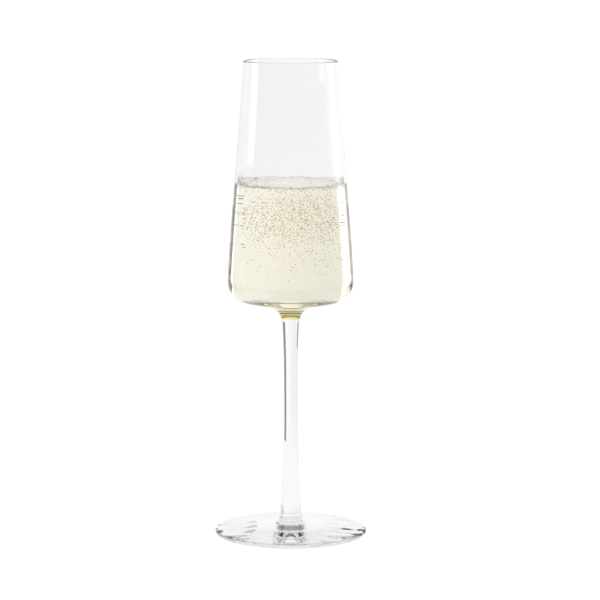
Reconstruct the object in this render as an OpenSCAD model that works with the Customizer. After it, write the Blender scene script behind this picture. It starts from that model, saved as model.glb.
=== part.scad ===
// Champagne flute: a tall bowl on a drawn stem and a round foot, two thirds full of champagne.
// The origin is the centre of the foot's resting ring and +Z runs up the axis of the glass.
// Every piece is a body of revolution, so each outline below is a half section [radius, height].

/* [Bowl] */
// Height of the rim above the table
overall_h = 240; // [225:1:255]
// Outer radius of the rim
rim_r = 23.75; // [21:0.25:27]
// Outer radius of the bowl at its widest
bowl_r = 31.65; // [29:0.25:34]
// Height of the widest point above the table
widest_z = 128.7; // [127:0.1:132]
// Outer radius of the rounded corner below the widest point
corner_r = 10; // [8:0.5:12]
// Slope of the bowl's underside, in degrees
underside_slope = 11; // [9:1:14]
// Thickness of the glass at the rim
rim_t = 1; // [0.8:0.1:1.4]
// Thickness of the glass at the widest point
wall_t = 1.5; // [1.2:0.1:2]
// Height of the inner floor at its centre
floor_z = 122.4; // [122:0.1:122.8]
// Inner radius of the rounded corner, where the wall runs into the thick floor
inner_corner_r = 6.1; // [5.5:0.1:7]

/* [Stem] */
// Height of the joint between the bowl's neck and the stem
neck_z = 108.5; // [107:0.5:110]
// Radius of the glass at that joint
neck_r = 4.4; // [4:0.1:4.8]
// Height of the stem's waist
waist_z = 60; // [55:1:65]
// Radius of the stem at its waist
waist_r = 3.45; // [3:0.05:3.8]

/* [Foot] */
// Outer radius of the foot
foot_r = 38.45; // [36:0.05:41]
// Radius of the foot's rounded edge
foot_edge_r = 0.95; // [0.8:0.05:1.2]
// Width of the flat ring that the foot rests on
rest_w = 3; // [2:0.5:5]
// Depth of the hollow under the foot
hollow_depth = 1.6; // [1:0.1:2]
// Height of the joint between the foot and the stem
ankle_z = 9; // [8:0.5:10]
// Radius of the glass at that joint
ankle_r = 5.55; // [5.2:0.05:6]
// Radius of the small bead around that joint
bead_r = 0.45; // [0.3:0.05:0.6]
// Radius of the fillet between that bead and the top of the foot
fillet_r = 3; // [2:0.1:3.2]
// Height of the foot's top where the fillet meets it
fillet_z = 4.6; // [4:0.1:4.8]

/* [Champagne] */
// Height of the champagne's flat surface above the table
level_z = 178.5; // [150:0.1:200]
// Rise of the champagne where it clings to the glass
cling_rise = 0.5; // [0.4:0.1:1.5]
// Thickness of the foam collar where it touches the glass
foam_h = 0.7; // [0.4:0.1:1.5]

/* [Hidden] */

// Facets of the preview around the axis, and the pieces in each curve of an outline
$fn = 128;
curve_steps = 24;
corner_steps = 12;
lip_steps = 8;

// Lengths that steer the curves: how far each one keeps its first or last direction, and how it leans
wall_start_hold = 16;
wall_end_hold = 18;
wall_end_lean = 0.54;
neck_end_r = 13;
neck_start_lean = 0.1;
neck_start_hold = 2.5;
neck_end_hold = 7;
floor_hold = 8;
floor_dip = 0.28;
inner_corner_start = -88;
stem_low_lean = 0.1;
stem_low_hold = 5;
waist_low_lean = 0.15;
waist_low_hold = 27;
waist_high_hold = 26;
stem_high_lean = 0.75;
stem_high_hold = 11;
foot_edge_end = 84;
foot_top_aim = [-16, 1.6];
foot_top_hold = 9;
hollow_start_hold = 14;
hollow_end_aim = [-10, 0.5];
bead_start = -60;
foam_top_aim = [-0.5, -0.05];
foam_edge_aim = [0.5, 0.6];

// The liquid's surface climbs the glass over this length, and is drawn out to this distance
cling_length = 1.2;
cling_reach = 7;
cling_steps = 8;
foam_steps = 5;

corner_centre = [bowl_r - corner_r, widest_z];
lip_centre = [rim_r - rim_t / 2, overall_h - rim_t / 2];
underside_run = [cos(underside_slope), sin(underside_slope)];
cling_z = level_z + cling_rise;

// A cubic curve from a to d that leaves towards b and arrives from c
function curve(a, b, c, d) = [
    for (i = [0:curve_steps])
        let (t = i / curve_steps)
        pow(1 - t, 3) * a + 3 * t * pow(1 - t, 2) * b + 3 * t * t * (1 - t) * c + pow(t, 3) * d
];

// A round stretch about a centre, between two angles
function arc(centre, r, from, to, steps) = [
    for (i = [0:steps])
        let (angle = from + (to - from) * i / steps)
        centre + r * [cos(angle), sin(angle)]
];

// A list without its first point, for joining curves that share it
function rest_of(points) = [for (i = [1:len(points) - 1]) points[i]];

// A list in the other direction
function reversed(points) = [for (i = [len(points) - 1:-1:0]) points[i]];

// The wall from the widest point to the lip, moved inwards by the glass thickness at each end
function wall(low_t, high_t) = curve(
    [bowl_r - low_t, widest_z],
    [bowl_r - low_t, widest_z + wall_start_hold],
    [rim_r - high_t + wall_end_lean, lip_centre.y - wall_end_hold],
    [rim_r - high_t, lip_centre.y]
);

// The underside and outer wall, from the neck joint up to the lip
corner_low = corner_centre + corner_r * [underside_run.y, -underside_run.x];
neck_end = corner_low - (corner_low.x - neck_end_r) / underside_run.x * underside_run;
neck_start_aim = [neck_r + neck_start_lean, neck_z + neck_start_hold];
neck = curve([neck_r, neck_z], neck_start_aim, neck_end - neck_end_hold * underside_run, neck_end);
outer_corner = arc(corner_centre, corner_r, underside_slope - 90, 0, corner_steps);
outer_side = concat(neck, outer_corner, rest_of(wall(0, 0)));

// The floor and inner wall, from the axis up to the lip
inner_corner_centre = [bowl_r - wall_t - inner_corner_r, widest_z];
inner_corner = arc(inner_corner_centre, inner_corner_r, inner_corner_start, 0, corner_steps);
floor_edge = inner_corner[0];
floor_curve = curve([0, floor_z], [floor_hold, floor_z], floor_edge - [floor_hold, floor_dip], floor_edge);
inner_side = concat(floor_curve, rest_of(inner_corner), rest_of(wall(wall_t, rim_t)));

// The inner wall's radius at a height, on the same straight pieces as the bowl's outline
inner_heights = [for (p = inner_side) if (p.y >= widest_z) [p.y, p.x]];
function inner_at(z) = [lookup(z, inner_heights), z];
function inner_between(low, high) = concat(
    [inner_at(low)],
    [for (p = inner_side) if (p.y > low && p.y < high) p],
    [inner_at(high)]
);

// The champagne's surface from the glass inwards, as steps that widen away from the glass
function surface_point(i) =
    let (away = cling_reach * pow(i / cling_steps, 2))
    [inner_at(cling_z).x - away, level_z + cling_rise * exp(-away / cling_length)];

module lathe(outline) {
    rotate_extrude() polygon(outline);
}

// Blown bowl with a thick base, a neck below it and a fire-polished lip
module bowl() {
    lip = arc(lip_centre, rim_t / 2, 0, 180, lip_steps);
    color("whitesmoke", 0.35)
        lathe(concat([[0, neck_z]], outer_side, rest_of(lip), rest_of(reversed(inner_side))));
}

// Solid stem, drawn thin at its waist
module stem() {
    waist = [waist_r, waist_z];
    ankle = [ankle_r, ankle_z];
    top = [neck_r, neck_z];
    below_waist = waist + [waist_low_lean, -waist_low_hold];
    lower = curve(ankle, ankle + [-stem_low_lean, stem_low_hold], below_waist, waist);
    upper = curve(waist, waist + [0, waist_high_hold], top - [stem_high_lean, stem_high_hold], top);
    color("whitesmoke", 0.35)
        lathe(concat([[0, ankle_z]], lower, rest_of(upper), [[0, neck_z]]));
}

// Thin round foot that rises to the stem, slightly hollow underneath
module foot() {
    edge_centre = [foot_r - foot_edge_r, foot_edge_r];
    edge = arc(edge_centre, foot_edge_r, -90, foot_edge_end, lip_steps);
    edge_top = edge[lip_steps];
    bead = arc([ankle_r, ankle_z - bead_r], bead_r, bead_start, 90, lip_steps);
    fillet_centre = [bead[0].x + fillet_r, fillet_z + fillet_r];
    fillet = arc(fillet_centre, fillet_r, -90, -180, corner_steps);
    top = curve(edge_top, edge_top + foot_top_aim, fillet[0] + [foot_top_hold, 0], fillet[0]);
    rest_inner = [edge_centre.x - rest_w, 0];
    hollow_start = [hollow_start_hold, hollow_depth];
    hollow = curve([0, hollow_depth], hollow_start, rest_inner + hollow_end_aim, rest_inner);
    color("whitesmoke", 0.35)
        lathe(concat(hollow, edge, rest_of(top), rest_of(fillet), bead, [[0, ankle_z]]));
}

// The wine, filling the bowl to its level and climbing a little at the glass
module champagne() {
    wetted = concat([for (p = inner_side) if (p.y < widest_z) p], inner_between(widest_z, cling_z));
    surface = [for (i = [1:cling_steps]) surface_point(i)];
    color("palegoldenrod", 0.6)
        lathe(concat(wetted, surface, [[0, level_z]]));
}

// Ring of fine foam that lies on the champagne against the glass
module foam_collar() {
    under = [for (i = [foam_steps:-1:1]) surface_point(i)];
    against_glass = inner_between(cling_z, cling_z + foam_h);
    foam_top = against_glass[len(against_glass) - 1];
    inner_edge = surface_point(foam_steps);
    crest = curve(foam_top, foam_top + foam_top_aim, inner_edge + foam_edge_aim, inner_edge);
    color("ivory", 0.8)
        lathe(concat(under, against_glass, [for (i = [1:curve_steps - 1]) crest[i]]));
}

bowl();
stem();
foot();
champagne();
foam_collar();
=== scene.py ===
"""Champagne flute: lathed clear glass, sparkling wine with its bubbles and foam, on a white table."""
import math
import random

import bmesh
import bpy
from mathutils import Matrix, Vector


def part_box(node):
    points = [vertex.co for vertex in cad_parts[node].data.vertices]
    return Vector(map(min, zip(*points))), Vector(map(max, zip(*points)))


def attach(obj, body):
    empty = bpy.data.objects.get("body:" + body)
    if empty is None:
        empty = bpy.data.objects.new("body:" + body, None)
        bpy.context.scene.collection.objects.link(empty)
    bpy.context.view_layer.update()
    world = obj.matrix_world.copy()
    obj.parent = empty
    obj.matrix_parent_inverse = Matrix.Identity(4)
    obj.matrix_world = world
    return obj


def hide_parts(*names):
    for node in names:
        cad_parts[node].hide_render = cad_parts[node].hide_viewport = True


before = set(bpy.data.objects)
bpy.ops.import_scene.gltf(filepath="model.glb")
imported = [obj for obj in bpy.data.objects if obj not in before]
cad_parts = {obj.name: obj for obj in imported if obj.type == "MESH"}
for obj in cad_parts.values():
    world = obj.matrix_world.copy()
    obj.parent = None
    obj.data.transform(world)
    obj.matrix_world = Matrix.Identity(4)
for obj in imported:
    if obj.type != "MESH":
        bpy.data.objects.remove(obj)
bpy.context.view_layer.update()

# Lengths are metres; a profile is a half section of (radius, height) points.
MM = 0.001
# Points closer than this are the same point
TINY = 1e-7

# Facets around the axis, and pieces in the curves of a profile
SEGMENTS = 192
STEM_SEGMENTS = 96
CURVE_STEPS = 56
ARC_STEPS = 28
WALL_STEPS = 150
EDGE_STEPS = 16
SMALL_ARC_STEPS = 12
SURFACE_STEPS = 40

# Places read from the CAD boxes
NECK_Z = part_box("bowl")[0][2]
RIM_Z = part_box("bowl")[1][2]
BOWL_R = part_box("bowl")[1][0]
ANKLE_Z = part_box("stem")[0][2]
FOOT_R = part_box("foot")[1][0]
CLING_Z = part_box("champagne")[1][2]

# Sizes of the glass, as in the CAD design
WIDEST_Z = 128.7 * MM
RIM_R = 23.75 * MM
RIM_T = 1.0 * MM
WALL_T = 1.5 * MM
CORNER_R = 10.0 * MM
INNER_CORNER_R = 6.1 * MM
FLOOR_Z = 122.4 * MM
UNDERSIDE_SLOPE = math.radians(11)
NECK_R = 4.4 * MM
WAIST_Z = 60.0 * MM
WAIST_R = 3.45 * MM
ANKLE_R = 5.55 * MM
BEAD_R = 0.45 * MM
FILLET_R = 3.0 * MM
FILLET_Z = 4.6 * MM
FOOT_EDGE_R = 0.95 * MM
REST_W = 3.0 * MM
HOLLOW_DEPTH = 1.6 * MM
# How far each curve keeps its first or last direction, and how it leans, also as in the design
WALL_START_HOLD = 16 * MM
WALL_END_HOLD = 18 * MM
WALL_END_LEAN = 0.54 * MM
NECK_END_R = 13 * MM
NECK_START_LEAN = 0.1 * MM
NECK_START_HOLD = 2.5 * MM
NECK_END_HOLD = 7 * MM
FLOOR_HOLD = 8 * MM
FLOOR_DIP = 0.28 * MM
STEM_LOW_LEAN = 0.1 * MM
STEM_LOW_HOLD = 5 * MM
WAIST_LOW_LEAN = 0.15 * MM
WAIST_LOW_HOLD = 27 * MM
WAIST_HIGH_HOLD = 26 * MM
STEM_HIGH_LEAN = 0.75 * MM
STEM_HIGH_HOLD = 11 * MM
FOOT_TOP_AIM = (-16 * MM, 1.6 * MM)
FOOT_TOP_HOLD = 9 * MM
HOLLOW_START_HOLD = 14 * MM
HOLLOW_END_AIM = (-10 * MM, 0.5 * MM)
# The stretch of the neck's outside that is tinted gold: painted light, standing in for wine-coloured
# light that reaches the neck through the wine
WINE_LIGHT_PAINT_LOW = 110.0 * MM
WINE_LIGHT_PAINT_HIGH = 116.0 * MM

# Sizes of the wine's surface
CLING_RISE = 0.5 * MM
CLING_LENGTH = 1.2 * MM
CLING_REACH = 7 * MM
LEVEL_Z = CLING_Z - CLING_RISE
# The wine's skin stands this far inside the glass, so that one skin alone bends the light
SKIN = 0.03 * MM

# How many bubbles are tried on the glass, and how many are made in the wine and in the foam
CLINGING_TRIES = 1700
RISING_COUNT = 1100
FOAM_RING_COUNT = 1800
FOAM_OPEN_COUNT = 420

# Glass and wine
GLASS_IOR = 1.5
WINE_IOR = 1.333
CRYSTAL = (0.998, 0.998, 0.998, 1)

# The camera sees this white behind the glass; the glass is lit by a room with these zones
SEEN_WHITE = 1.05
WALL_RIGHT = 1.0
WALL_LEFT = 0.9
ABOVE_WALL = 0.4
CEILING = 1.0
ROOM_FRONT = 0.6
FRONT_CEILING = 0.1
NEAR_TABLE = 0.96
# painted shadow: how bright the glass finds the table in the spot under the stem
PAINTED_STEM_SHADOW = 0.02

# The camera, in metres and in millimetres of lens
LENS_MM = 161.7
SENSOR_MM = 36.0
CAMERA_PLACE = (0, -1.345, 0.316)
CAMERA_AIM_X = 4.7 * MM


# ---------------------------------------------------------------- profiles

def cubic(a, b, c, d, steps=CURVE_STEPS):
    """Points of a cubic curve that leaves a towards b and reaches d from c."""
    a, b, c, d = (Vector(p) for p in (a, b, c, d))
    points = []
    for i in range(steps + 1):
        t = i / steps
        s = 1 - t
        points.append(s ** 3 * a + 3 * t * s * s * b + 3 * t * t * s * c + t ** 3 * d)
    return points


def arc(centre, radius, start, end, steps=ARC_STEPS):
    """Points of a round stretch between two angles in degrees."""
    points = []
    for i in range(steps + 1):
        angle = math.radians(start + (end - start) * i / steps)
        points.append(Vector(centre) + radius * Vector((math.cos(angle), math.sin(angle))))
    return points


def joined(*runs):
    """One list of points from runs that share their end points."""
    points = list(runs[0])
    for run in runs[1:]:
        points.extend(run[1:])
    return points


def wall(low_t, high_t):
    """The bowl's wall from its widest point to the lip, moved in by the glass thickness."""
    lip_z = RIM_Z - RIM_T / 2
    return cubic((BOWL_R - low_t, WIDEST_Z),
                 (BOWL_R - low_t, WIDEST_Z + WALL_START_HOLD),
                 (RIM_R - high_t + WALL_END_LEAN, lip_z - WALL_END_HOLD),
                 (RIM_R - high_t, lip_z), steps=WALL_STEPS)


def outer_side():
    """Neck, underside, corner and outer wall, from the neck joint to the lip."""
    run = Vector((math.cos(UNDERSIDE_SLOPE), math.sin(UNDERSIDE_SLOPE)))
    centre = Vector((BOWL_R - CORNER_R, WIDEST_Z))
    corner_low = centre + CORNER_R * Vector((run.y, -run.x))
    neck_end = corner_low - (corner_low.x - NECK_END_R) / run.x * run
    neck = cubic((NECK_R, NECK_Z), (NECK_R + NECK_START_LEAN, NECK_Z + NECK_START_HOLD),
                 neck_end - NECK_END_HOLD * run, neck_end)
    corner = arc(centre, CORNER_R, math.degrees(UNDERSIDE_SLOPE) - 90, 0)
    return joined(neck, [neck[-1]] + corner, wall(0, 0))


def inner_side():
    """Floor, inner corner and inner wall, from the axis to the lip."""
    centre = (BOWL_R - WALL_T - INNER_CORNER_R, WIDEST_Z)
    corner = arc(centre, INNER_CORNER_R, -88, 0)
    hold = Vector((FLOOR_HOLD, FLOOR_DIP))
    floor = cubic((0, FLOOR_Z), (FLOOR_HOLD, FLOOR_Z), corner[0] - hold, corner[0])
    return joined(floor, corner, wall(WALL_T, RIM_T))


UPRIGHT_WALL = [p for p in inner_side() if p.y >= WIDEST_Z]


def inner_at(z):
    """The point of the inner wall at a height above the bowl's corner."""
    for low, high in zip(UPRIGHT_WALL, UPRIGHT_WALL[1:]):
        if low.y <= z <= high.y:
            return low.lerp(high, (z - low.y) / (high.y - low.y))
    return UPRIGHT_WALL[-1]


def surface_z(away):
    """The height of the wine's surface at a distance from the glass."""
    return LEVEL_Z + CLING_RISE * math.exp(-away / CLING_LENGTH)


# ---------------------------------------------------------------- meshes

def lathe(name, runs, segments=SEGMENTS):
    """A closed body of revolution. runs is a list of (points, material), from end to end."""
    points, owners = [], []
    materials = []
    for run, material in runs:
        if material not in materials:
            materials.append(material)
        first = 1 if points else 0
        for p in run[first:]:
            if points:
                owners.append(materials.index(material))
            points.append(Vector(p))
    mesh = bpy.data.meshes.new(name)
    bm = bmesh.new()
    closed_ring = points[0].x > TINY
    if closed_ring:
        points.pop()
    rings = []
    for p in points:
        if p.x < TINY:
            rings.append([bm.verts.new((0, 0, p.y))])
            continue
        ring = []
        for j in range(segments):
            angle = 2 * math.pi * j / segments
            ring.append(bm.verts.new((p.x * math.cos(angle), p.x * math.sin(angle), p.y)))
        rings.append(ring)
    pairs = list(zip(rings, rings[1:]))
    if closed_ring:
        pairs.append((rings[-1], rings[0]))
    for (low, high), owner in zip(pairs, owners):
        for j in range(segments):
            k = (j + 1) % segments
            if len(low) == 1:
                corners = (low[0], high[k], high[j])
            elif len(high) == 1:
                corners = (low[j], low[k], high[0])
            else:
                corners = (low[j], low[k], high[k], high[j])
            face = bm.faces.new(corners)
            face.material_index = owner
            face.smooth = True
    for edge in bm.edges:
        owners_here = {f.material_index for f in edge.link_faces}
        edge.smooth = len(owners_here) < 2
    bmesh.ops.recalc_face_normals(bm, faces=bm.faces)
    bm.to_mesh(mesh)
    bm.free()
    for material in materials:
        mesh.materials.append(material)
    piece = bpy.data.objects.new(name, mesh)
    bpy.context.scene.collection.objects.link(piece)
    return piece


def beads(name, places, material, subdivisions=2):
    """Many small round bubbles in one mesh. places is a list of (centre, radius)."""
    template = bmesh.new()
    bmesh.ops.create_icosphere(template, subdivisions=subdivisions, radius=1)
    corners = [v.co.copy() for v in template.verts]
    faces = [[v.index for v in f.verts] for f in template.faces]
    template.free()
    verts, polys = [], []
    for centre, radius in places:
        base = len(verts)
        verts.extend(tuple(Vector(centre) + radius * c) for c in corners)
        polys.extend([base + i for i in f] for f in faces)
    mesh = bpy.data.meshes.new(name)
    mesh.from_pydata(verts, [], polys)
    mesh.materials.append(material)
    mesh.polygons.foreach_set("use_smooth", [True] * len(mesh.polygons))
    piece = bpy.data.objects.new(name, mesh)
    bpy.context.scene.collection.objects.link(piece)
    return piece


# ---------------------------------------------------------------- materials

def new_material(name):
    """An empty node material and its tree."""
    material = bpy.data.materials.new(name)
    material.use_nodes = True
    tree = material.node_tree
    tree.nodes.clear()
    return material, tree


def waviness(tree, scale, distance):
    """A bump node of slow waves, as in blown glass."""
    nodes, links = tree.nodes, tree.links
    place = nodes.new("ShaderNodeTexCoord")
    noise = nodes.new("ShaderNodeTexNoise")
    noise.inputs["Scale"].default_value = scale
    noise.inputs["Detail"].default_value = 1.0
    links.new(place.outputs["Object"], noise.inputs["Vector"])
    bump = nodes.new("ShaderNodeBump")
    bump.inputs["Distance"].default_value = distance
    links.new(noise.outputs["Fac"], bump.inputs["Height"])
    return bump


def smooth_glass(tree, ior, colour=(1, 1, 1, 1)):
    """A glass shader with no roughness."""
    glass = tree.nodes.new("ShaderNodeBsdfGlass")
    glass.inputs["IOR"].default_value = ior
    glass.inputs["Roughness"].default_value = 0.0
    glass.inputs["Color"].default_value = colour
    return glass


def smooth_ramp(tree, value, low, high):
    """A node that rises smoothly from 0 to 1 as a value goes from low to high."""
    ramp = tree.nodes.new("ShaderNodeMapRange")
    ramp.interpolation_type = "SMOOTHSTEP"
    ramp.inputs["From Min"].default_value = low
    ramp.inputs["From Max"].default_value = high
    tree.links.new(value, ramp.inputs["Value"])
    return ramp


def maths(tree, operation, *values):
    """The result of an arithmetic node on node outputs or plain numbers."""
    node = tree.nodes.new("ShaderNodeMath")
    node.operation = operation
    for socket, value in zip(node.inputs, values):
        if isinstance(value, float):
            socket.default_value = value
        else:
            tree.links.new(value, socket)
    return node.outputs["Value"]


def finish_surface(tree, shader):
    """Show a shader's output as the material's surface."""
    out = tree.nodes.new("ShaderNodeOutputMaterial")
    tree.links.new(shader, out.inputs["Surface"])
    return out


def clear_glass(name="clear_glass", colour=CRYSTAL):
    """Crystal with very slight waves."""
    material, tree = new_material(name)
    glass = smooth_glass(tree, GLASS_IOR, colour)
    bump = waviness(tree, 60.0, 0.01 * MM)
    tree.links.new(bump.outputs["Normal"], glass.inputs["Normal"])
    finish_surface(tree, glass.outputs["BSDF"])
    return material


def foot_glass():
    """Clear crystal with soft streaks from its turning, on the outer part of the foot's two sides."""
    material, tree = new_material("foot_glass")
    nodes, links = tree.nodes, tree.links
    glass = smooth_glass(tree, GLASS_IOR, CRYSTAL)
    place = nodes.new("ShaderNodeTexCoord")
    stretch = nodes.new("ShaderNodeMapping")
    stretch.inputs["Rotation"].default_value = (0, 0, math.radians(25))
    stretch.inputs["Scale"].default_value = (45, 150, 45)
    links.new(place.outputs["Object"], stretch.inputs["Vector"])
    streaks = nodes.new("ShaderNodeTexNoise")
    streaks.inputs["Scale"].default_value = 1.0
    streaks.inputs["Detail"].default_value = 0.0
    links.new(stretch.outputs["Vector"], streaks.inputs["Vector"])
    axes = nodes.new("ShaderNodeSeparateXYZ")
    links.new(place.outputs["Object"], axes.inputs["Vector"])
    sideways = maths(tree, "ABSOLUTE", axes.outputs["X"])
    sides = smooth_ramp(tree, sideways, 12 * MM, 24 * MM)
    reach = nodes.new("ShaderNodeVectorMath")
    reach.operation = "LENGTH"
    links.new(place.outputs["Object"], reach.inputs[0])
    ring = smooth_ramp(tree, reach.outputs["Value"], 12 * MM, 22 * MM)
    where = maths(tree, "MULTIPLY", sides.outputs["Result"], ring.outputs["Result"])
    bump = nodes.new("ShaderNodeBump")
    bump.inputs["Distance"].default_value = 0.6 * MM
    links.new(maths(tree, "MULTIPLY", streaks.outputs["Fac"], where), bump.inputs["Height"])
    links.new(bump.outputs["Normal"], glass.inputs["Normal"])
    finish_surface(tree, glass.outputs["BSDF"])
    return material


def fused_seam():
    """Where two pieces of glass are fused, or wine wets the glass: light goes straight on."""
    material, tree = new_material("fused_seam")
    clear = tree.nodes.new("ShaderNodeBsdfTransparent")
    finish_surface(tree, clear.outputs["BSDF"])
    return material


def champagne_liquid():
    """Pale straw wine, whose skin bends light as wine against glass, and on top as wine against air.

    Froth covers the top in patches, and more of it where the wine climbs the glass.
    """
    material, tree = new_material("champagne")
    nodes, links = tree.nodes, tree.links
    against_glass = smooth_glass(tree, WINE_IOR / GLASS_IOR)
    against_air = smooth_glass(tree, WINE_IOR)
    open_face = nodes.new("ShaderNodeAttribute")
    open_face.attribute_name = "open_surface"
    froth = nodes.new("ShaderNodeBsdfDiffuse")
    froth.inputs["Color"].default_value = (0.95, 0.95, 0.94, 1)
    place = nodes.new("ShaderNodeTexCoord")
    patches = nodes.new("ShaderNodeTexNoise")
    patches.inputs["Scale"].default_value = 900.0
    patches.inputs["Detail"].default_value = 2.0
    links.new(place.outputs["Object"], patches.inputs["Vector"])
    cover = nodes.new("ShaderNodeMapRange")
    cover.inputs["From Min"].default_value = 0.38
    cover.inputs["From Max"].default_value = 0.62
    cover.inputs["To Min"].default_value = 0.2
    cover.inputs["To Max"].default_value = 0.6
    links.new(patches.outputs["Fac"], cover.inputs["Value"])
    axes = nodes.new("ShaderNodeSeparateXYZ")
    links.new(place.outputs["Object"], axes.inputs["Vector"])
    climb = nodes.new("ShaderNodeMapRange")
    climb.inputs["From Min"].default_value = LEVEL_Z + 0.02 * MM
    climb.inputs["From Max"].default_value = LEVEL_Z + 0.2 * MM
    climb.inputs["To Max"].default_value = 0.85
    links.new(axes.outputs["Z"], climb.inputs["Value"])
    top = nodes.new("ShaderNodeMixShader")
    frothy = maths(tree, "MAXIMUM", cover.outputs["Result"], climb.outputs["Result"])
    links.new(frothy, top.inputs["Fac"])
    links.new(against_air.outputs["BSDF"], top.inputs[1])
    links.new(froth.outputs["BSDF"], top.inputs[2])
    mix = nodes.new("ShaderNodeMixShader")
    links.new(open_face.outputs["Fac"], mix.inputs["Fac"])
    links.new(against_glass.outputs["BSDF"], mix.inputs[1])
    links.new(top.outputs["Shader"], mix.inputs[2])
    tint = nodes.new("ShaderNodeVolumeAbsorption")
    tint.inputs["Color"].default_value = (0.86, 0.73, 0.20, 1)
    tint.inputs["Density"].default_value = 5.6
    out = finish_surface(tree, mix.outputs["Shader"])
    links.new(tint.outputs["Volume"], out.inputs["Volume"])
    return material


def gas_bubble():
    """A gas bubble inside wine: light bends as from wine into air."""
    material, tree = new_material("gas_bubble")
    # painted shade: the olive-brown colour darkens each bubble beyond what its bending of light gives
    glass = smooth_glass(tree, 1 / WINE_IOR, (0.85, 0.79, 0.67, 1))
    finish_surface(tree, glass.outputs["BSDF"])
    return material


def wet_foam():
    """Fine wet foam: thin clear skins that shine at their edges, with a little white scatter."""
    material, tree = new_material("foam")
    nodes, links = tree.nodes, tree.links
    clear = nodes.new("ShaderNodeBsdfTransparent")
    clear.inputs["Color"].default_value = (0.985, 0.985, 0.985, 1)
    shine = nodes.new("ShaderNodeBsdfAnisotropic")
    shine.inputs["Roughness"].default_value = 0.1
    edge = nodes.new("ShaderNodeFresnel")
    edge.inputs["IOR"].default_value = WINE_IOR
    skin = nodes.new("ShaderNodeMixShader")
    links.new(edge.outputs["Fac"], skin.inputs["Fac"])
    links.new(clear.outputs["BSDF"], skin.inputs[1])
    links.new(shine.outputs["BSDF"], skin.inputs[2])
    milk = nodes.new("ShaderNodeBsdfDiffuse")
    milk.inputs["Color"].default_value = (0.99, 0.99, 0.985, 1)
    mix = nodes.new("ShaderNodeMixShader")
    mix.inputs["Fac"].default_value = 0.15
    links.new(skin.outputs["Shader"], mix.inputs[1])
    links.new(milk.outputs["BSDF"], mix.inputs[2])
    finish_surface(tree, mix.outputs["Shader"])
    return material


# ---------------------------------------------------------------- pieces

def build_bowl(glass, seam, painted_wine_light):
    """The blown bowl, open at the top; where the wine wets it, the wine's skin bends the light."""
    outer = outer_side()
    low, high = (next(i for i, p in enumerate(outer) if p.y > z) for z in (WINE_LIGHT_PAINT_LOW, WINE_LIGHT_PAINT_HIGH))
    inner = inner_side()
    contact = inner_at(CLING_Z)
    wet = [p for p in inner if p.y < CLING_Z] + [contact]
    dry = [contact] + [p for p in inner if p.y > CLING_Z]
    lip = arc((RIM_R - RIM_T / 2, RIM_Z - RIM_T / 2), RIM_T / 2, 0, 180, SMALL_ARC_STEPS)
    dry_down = joined(lip, dry[::-1])
    runs = [([(0, NECK_Z), (NECK_R, NECK_Z)], seam),
            (outer[:low + 1], glass),
            # painted light: a gold tint on this stretch of the neck stands in for wine-coloured light
            # reaching it through the wine
            (outer[low:high + 1], painted_wine_light),
            (outer[high:], glass),
            (dry_down, glass),
            (wet[::-1], seam)]
    return lathe("glass_bowl", runs)


def build_stem(glass, seam):
    """The drawn stem, thin at its waist."""
    lower = cubic((ANKLE_R, ANKLE_Z), (ANKLE_R - STEM_LOW_LEAN, ANKLE_Z + STEM_LOW_HOLD),
                  (WAIST_R + WAIST_LOW_LEAN, WAIST_Z - WAIST_LOW_HOLD), (WAIST_R, WAIST_Z))
    upper = cubic((WAIST_R, WAIST_Z), (WAIST_R, WAIST_Z + WAIST_HIGH_HOLD),
                  (NECK_R - STEM_HIGH_LEAN, NECK_Z - STEM_HIGH_HOLD), (NECK_R, NECK_Z))
    runs = [([(0, ANKLE_Z), (ANKLE_R, ANKLE_Z)], seam),
            (joined(lower, upper), glass),
            ([(NECK_R, NECK_Z), (0, NECK_Z)], seam)]
    return lathe("glass_stem", runs, segments=STEM_SEGMENTS)


def build_foot(glass, seam):
    """The thin foot, slightly hollow underneath, with a small bead where the stem joins it."""
    edge = arc((FOOT_R - FOOT_EDGE_R, FOOT_EDGE_R), FOOT_EDGE_R, -90, 84, EDGE_STEPS)
    bead = arc((ANKLE_R, ANKLE_Z - BEAD_R), BEAD_R, -60, 90, SMALL_ARC_STEPS)
    fillet_centre = Vector((bead[0].x + FILLET_R, FILLET_Z + FILLET_R))
    fillet = arc(fillet_centre, FILLET_R, -90, -180, EDGE_STEPS)
    top = cubic(edge[-1], edge[-1] + Vector(FOOT_TOP_AIM),
                fillet[0] + Vector((FOOT_TOP_HOLD, 0)), fillet[0])
    rest_inner = Vector((FOOT_R - FOOT_EDGE_R - REST_W, 0))
    hollow = cubic((0, HOLLOW_DEPTH), (HOLLOW_START_HOLD, HOLLOW_DEPTH),
                   rest_inner + Vector(HOLLOW_END_AIM), rest_inner)
    skin = joined(hollow, [rest_inner] + edge, top, fillet, [fillet[-1]] + bead)
    runs = [(skin, glass), ([(ANKLE_R, ANKLE_Z), (0, ANKLE_Z)], seam)]
    return lathe("glass_foot", runs)


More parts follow.
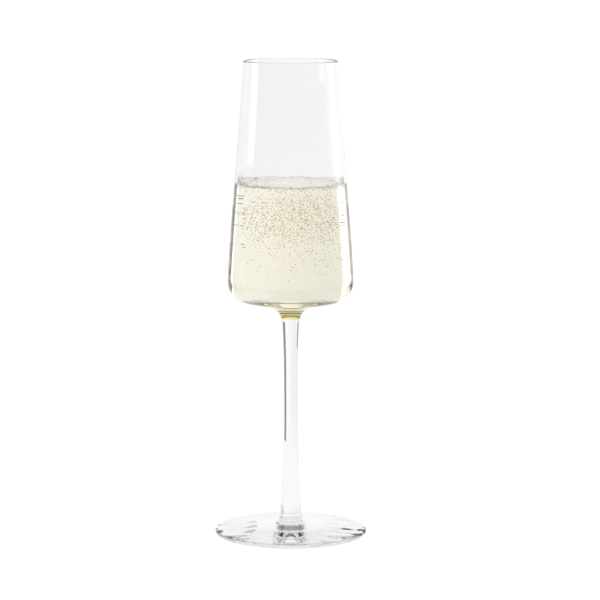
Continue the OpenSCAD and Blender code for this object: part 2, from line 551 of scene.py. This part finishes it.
def build_wine(liquid):
    """The wine: one closed skin, marked where it is open to the air."""
    wet = [p for p in inner_side() if p.y < CLING_Z] + [inner_at(CLING_Z)]
    skin = []
    for before, p, after in zip([wet[0]] + wet, wet, wet[1:] + [wet[-1]]):
        along = (after - before).normalized()
        out = Vector((along.y, -along.x))
        skin.append(p + SKIN * out if p.x > 0 else p - Vector((0, SKIN)))
    edge = skin[-1].x
    surface = [skin[-1]]
    for i in range(1, SURFACE_STEPS + 1):
        away = CLING_REACH * (i / SURFACE_STEPS) ** 2
        surface.append(Vector((edge - away, surface_z(away))))
    surface.append(Vector((0, LEVEL_Z)))
    piece = lathe("champagne_wine", [(skin, liquid), (surface, liquid)])
    mesh = piece.data
    marks = mesh.attributes.new("open_surface", "FLOAT", "FACE")
    for face in mesh.polygons:
        away = edge - math.hypot(face.center.x, face.center.y)
        near_top = face.center.z > surface_z(max(away, 0)) - 0.15 * MM
        marks.data[face.index].value = 1.0 if near_top and face.normal.z > 0.3 else 0.0
    for line in mesh.edges:
        ends = [mesh.vertices[i].co.z for i in line.vertices]
        line.use_edge_sharp = all(abs(z - skin[-1].y) < TINY for z in ends)
    return piece


def bubble_places():
    """Where the bubbles are: thick in the wine's upper half, thin below, and some in short strings.

    The wine's two sides have none, because its refraction stretches them into dashes there.
    """
    rng = random.Random(7)

    def depth():
        if rng.random() < 0.9:
            return min(max(rng.gauss(17, 8.5), 1.2), 36) * MM
        return rng.uniform(26, 47) * MM

    def around(down):
        if down > 30 * MM:
            return rng.gauss(0, 1.3)
        if rng.random() < 0.5:
            return rng.gauss(-math.pi / 2 + 0.2, 0.75)
        return rng.uniform(-math.pi, math.pi)

    clinging, rising = [], []
    for _ in range(CLINGING_TRIES):
        radius = rng.uniform(0.13, 0.28) * MM
        down = depth()
        z = CLING_Z - down
        at = inner_at(z).x - radius * 1.05
        angle = around(down)
        if abs(math.cos(angle)) > (0.55 if math.sin(angle) > 0 else 0.82):
            continue
        clinging.append(((at * math.cos(angle), at * math.sin(angle), z), radius))
    while len(rising) < RISING_COUNT:
        down = depth()
        angle = around(down)
        z = LEVEL_Z - down
        at = (inner_at(z).x - 2.5 * MM) * math.sqrt(rng.uniform(0, 1))
        place = Vector((at * math.cos(angle), at * math.sin(angle), z))
        if abs(place.x) > (0.5 if place.y > 0 else 0.75) * inner_at(z).x:
            continue
        lean = Vector((rng.gauss(0, 0.35), rng.gauss(0, 0.35), 1)) * rng.uniform(0.9, 1.6) * MM
        for k in range(rng.choice((1, 1, 1, 2, 3, 4))):
            bead = place + k * lean
            if bead.z < LEVEL_Z - 1 * MM and math.hypot(bead.x, bead.y) < inner_at(bead.z).x - 1 * MM:
                rising.append((tuple(bead), rng.uniform(0.13, 0.27) * MM))
    return clinging, rising


def foam_places():
    """Tiny bubbles where wine meets glass, taller at the two sides, and some on the open wine."""
    rng = random.Random(11)
    places = []
    while len(places) < FOAM_RING_COUNT:
        radius = rng.uniform(0.12, 0.24) * MM
        angle = rng.uniform(0, 2 * math.pi)
        side = 1 - abs(math.sin(angle))
        if rng.random() < 0.25 + side:
            z = LEVEL_Z + rng.uniform(-0.2, 0.9) * MM + rng.uniform(-1, 1) * 2.8 * MM * side
            r = inner_at(z).x - radius * 1.05
            places.append(((r * math.cos(angle), r * math.sin(angle), z), radius))
    edge = inner_at(CLING_Z).x
    for _ in range(FOAM_OPEN_COUNT):
        radius = rng.uniform(0.14, 0.26) * MM
        away = edge - (edge - 0.5 * MM) * math.sqrt(rng.random())
        angle = rng.uniform(0, 2 * math.pi)
        r = edge - away
        z = surface_z(away) + 0.1 * radius
        places.append(((r * math.cos(angle), r * math.sin(angle), z), radius))
    return places


# ---------------------------------------------------------------- studio

def glow(name, strength):
    """A surface that shines evenly."""
    material, tree = new_material(name)
    light = tree.nodes.new("ShaderNodeEmission")
    light.inputs["Color"].default_value = (1, 1, 1, 1)
    light.inputs["Strength"].default_value = strength
    finish_surface(tree, light.outputs["Emission"])
    return material


def sorted_by_wine(material, for_wine):
    """Show a glowing material only to light that crosses the wine, or only to light that does not.

    Light through the wine passes at least two wetted walls, which are transparent.
    """
    tree = material.node_tree
    nodes, links = tree.nodes, tree.links
    light = next(n for n in nodes if n.bl_idname == "ShaderNodeEmission")
    out = next(n for n in nodes if n.bl_idname == "ShaderNodeOutputMaterial")
    path = nodes.new("ShaderNodeLightPath")
    crossed = maths(tree, "GREATER_THAN", path.outputs["Transparent Depth"], 1.5)
    clear = nodes.new("ShaderNodeBsdfTransparent")
    mix = nodes.new("ShaderNodeMixShader")
    links.new(crossed, mix.inputs["Fac"])
    links.new(clear.outputs["BSDF"], mix.inputs[1 if for_wine else 2])
    links.new(light.outputs["Emission"], mix.inputs[2 if for_wine else 1])
    links.new(mix.outputs["Shader"], out.inputs["Surface"])


def card(name, start, end, low, high, strength, for_wine):
    """An upright curved card, unseen by the camera: a soft light, or a dark flag at a low strength.

    start and end are directions from the glass in degrees, from +X towards +Y.
    """
    distance = 0.19 if for_wine else 0.2
    material = glow(name, strength)
    sorted_by_wine(material, for_wine)
    mesh = bpy.data.meshes.new(name)
    steps = 12
    verts, faces = [], []
    for i in range(steps + 1):
        angle = math.radians(start + (end - start) * i / steps)
        x, y = distance * math.cos(angle), distance * math.sin(angle)
        verts += [(x, y, low), (x, y, high)]
    for i in range(steps):
        faces.append((2 * i, 2 * i + 2, 2 * i + 3, 2 * i + 1))
    mesh.from_pydata(verts, [], faces)
    mesh.materials.append(material)
    piece = bpy.data.objects.new(name, mesh)
    bpy.context.scene.collection.objects.link(piece)
    piece.visible_camera = False
    piece.visible_shadow = False
    return piece


def foam_light(radius, height, strength):
    """A round soft light above the glass that only the scattering foam receives."""
    mesh = bpy.data.meshes.new("light_foam")
    steps = 24
    verts = []
    for i in range(steps):
        angle = -2 * math.pi * i / steps
        verts.append((radius * math.cos(angle), radius * math.sin(angle), height))
    mesh.from_pydata(verts, [], [tuple(range(steps))])
    mesh.materials.append(glow("light_foam", strength))
    piece = bpy.data.objects.new("light_foam", mesh)
    bpy.context.scene.collection.objects.link(piece)
    for ray in ("camera", "glossy", "transmission", "shadow"):
        setattr(piece, f"visible_{ray}", False)


def room_light(tree, direction):
    """How strongly the room lights the glass from a direction, as a node output.

    A white wall stands behind the glass, brighter towards +X. The room dims above it and is bright
    again overhead. Mirrored light also finds the room dimmer towards -Y, and dark overhead there.
    """
    nodes, links = tree.nodes, tree.links
    axes = nodes.new("ShaderNodeSeparateXYZ")
    links.new(direction, axes.inputs["Vector"])

    def step(axis, low, high):
        return smooth_ramp(tree, axes.outputs[axis], low, high).outputs["Result"]

    def blended(factor, a, b):
        mix = nodes.new("ShaderNodeMix")
        links.new(factor, mix.inputs["Factor"])
        for socket, value in (("A", a), ("B", b)):
            if isinstance(value, float):
                mix.inputs[socket].default_value = value
            else:
                links.new(value, mix.inputs[socket])
        return mix.outputs["Result"]

    wall = blended(step("X", -0.35, 0.3), WALL_LEFT, WALL_RIGHT)
    above = blended(step("Z", 0.22, 0.52), wall, ABOVE_WALL)
    behind = blended(step("Z", 0.72, 0.88), above, CEILING)
    front = blended(step("Z", 0.6, 0.8), ROOM_FRONT, FRONT_CEILING)
    path = nodes.new("ShaderNodeLightPath")
    mirrored = maths(tree, "MINIMUM", path.outputs["Glossy Depth"], 1.0)
    facing = blended(mirrored, behind, front)
    return blended(step("Y", -0.1, 0.2), facing, behind)


def build_room():
    """The room as a world: even white as the camera sees it, shaped light as the glass does."""
    world = bpy.data.worlds.new("room")
    bpy.context.scene.world = world
    world.use_nodes = True
    tree = world.node_tree
    nodes, links = tree.nodes, tree.links
    nodes.clear()
    place = nodes.new("ShaderNodeTexCoord")
    path = nodes.new("ShaderNodeLightPath")
    strength = nodes.new("ShaderNodeMix")
    links.new(room_light(tree, place.outputs["Generated"]), strength.inputs["A"])
    strength.inputs["B"].default_value = SEEN_WHITE
    links.new(path.outputs["Is Camera Ray"], strength.inputs["Factor"])
    sky = nodes.new("ShaderNodeBackground")
    sky.inputs["Color"].default_value = (1, 1, 1, 1)
    links.new(strength.outputs["Result"], sky.inputs["Strength"])
    out = nodes.new("ShaderNodeOutputWorld")
    links.new(sky.outputs["Background"], out.inputs["Surface"])


def build_table():
    """A wide table: even white as the camera sees it.

    The glass finds it like the room far out, even near the foot, and dark in a spot under the stem,
    where a shadow is painted.
    """
    mesh = bpy.data.meshes.new("table")
    half = 12.0
    top = -0.02 * MM
    corners = [(-half, -half, top), (half, -half, top), (half, half, top), (-half, half, top)]
    mesh.from_pydata(corners, [], [(0, 1, 2, 3)])
    material, tree = new_material("table_white")
    nodes, links = tree.nodes, tree.links
    place = nodes.new("ShaderNodeTexCoord")
    outward = nodes.new("ShaderNodeVectorMath")
    outward.operation = "NORMALIZE"
    links.new(place.outputs["Object"], outward.inputs[0])
    reach = nodes.new("ShaderNodeVectorMath")
    reach.operation = "LENGTH"
    links.new(place.outputs["Object"], reach.inputs[0])
    far = smooth_ramp(tree, reach.outputs["Value"], 0.1, 0.4)
    # painted shadow: the table goes dark in a spot under the stem, for the light that reaches the
    # glass
    painted_stem_shadow = smooth_ramp(tree, reach.outputs["Value"], 6 * MM, 8 * MM)
    painted_stem_shadow.inputs["To Min"].default_value = PAINTED_STEM_SHADOW
    painted_stem_shadow.inputs["To Max"].default_value = NEAR_TABLE
    lit = nodes.new("ShaderNodeMix")
    links.new(far.outputs["Result"], lit.inputs["Factor"])
    links.new(painted_stem_shadow.outputs["Result"], lit.inputs["A"])
    links.new(room_light(tree, outward.outputs["Vector"]), lit.inputs["B"])
    path = nodes.new("ShaderNodeLightPath")
    strength = nodes.new("ShaderNodeMix")
    links.new(lit.outputs["Result"], strength.inputs["A"])
    strength.inputs["B"].default_value = SEEN_WHITE
    links.new(path.outputs["Is Camera Ray"], strength.inputs["Factor"])
    light = nodes.new("ShaderNodeEmission")
    links.new(strength.outputs["Result"], light.inputs["Strength"])
    finish_surface(tree, light.outputs["Emission"])
    mesh.materials.append(material)
    table = bpy.data.objects.new("table", mesh)
    bpy.context.scene.collection.objects.link(table)


def build_studio():
    """A white table in a white room, with soft lights and dark flags beside the glass."""
    build_room()
    build_table()
    card("light_right_high", 8, 31, 0.166, 0.5, 1.9, for_wine=False)
    card("light_left_high", 170, 190, 0.19, 0.5, 1.6, for_wine=False)
    card("flag_right_low", 32, 60, 0.0, 0.1, 0.2, for_wine=False)
    card("flag_left_low", 130, 146, 0.07, 0.1, 0.3, for_wine=False)
    card("light_right", 49, 53, 0.085, 0.165, 1.8, for_wine=True)
    card("flag_right", 20, 47, 0.085, 0.155, 0.0, for_wine=True)
    card("light_left", 116, 134, 0.075, 0.165, 1.35, for_wine=True)
    card("flag_left", 136, 154, 0.085, 0.155, 0.2, for_wine=True)
    foam_light(0.25, 0.5, 5.0)


def build_camera():
    """A long lens a little above the rim, as in a catalogue photograph."""
    lens = bpy.data.cameras.new("camera")
    lens.lens = LENS_MM
    lens.sensor_width = SENSOR_MM
    camera = bpy.data.objects.new("camera", lens)
    bpy.context.scene.collection.objects.link(camera)
    middle = (RIM_Z - 1 * MM) / 2
    target = Vector((CAMERA_AIM_X, 0, middle))
    camera.location = Vector(CAMERA_PLACE)
    camera.rotation_euler = (target - camera.location).to_track_quat("-Z", "Y").to_euler()
    bpy.context.scene.camera = camera


def build_all():
    """Make every piece, ride it on the glass, and hide the CAD node it stands for."""
    glass = clear_glass()
    # painted light: gold-tinted glass for the neck, standing in for wine-coloured light, not a colour
    # of the glass
    painted_wine_light = clear_glass("painted_wine_light_glass", (1.0, 0.95, 0.68, 1))
    seam = fused_seam()
    made = [(build_bowl(glass, seam, painted_wine_light), "bowl", "clear_glass"),
            (build_stem(glass, seam), "stem", "clear_glass"),
            (build_foot(foot_glass(), seam), "foot", "clear_glass"),
            (build_wine(champagne_liquid()), "champagne", "champagne")]
    clinging, rising = bubble_places()
    gas = gas_bubble()
    made.append((beads("bubbles_on_glass", clinging, gas), None, "champagne"))
    made.append((beads("bubbles_rising", rising, gas), None, "champagne"))
    made.append((beads("foam_ring", foam_places(), wet_foam(), 1), "foam_collar", "foam"))
    for piece, node, slot in made:
        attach(piece, "root")
        if node:
            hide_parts(node)


build_camera()
build_studio()
build_all()

scene = bpy.context.scene
scene.view_settings.view_transform = "Standard"
scene.cycles.max_bounces = 40
scene.cycles.transmission_bounces = 40
scene.cycles.glossy_bounces = 24
scene.cycles.diffuse_bounces = 16
scene.cycles.transparent_max_bounces = 40
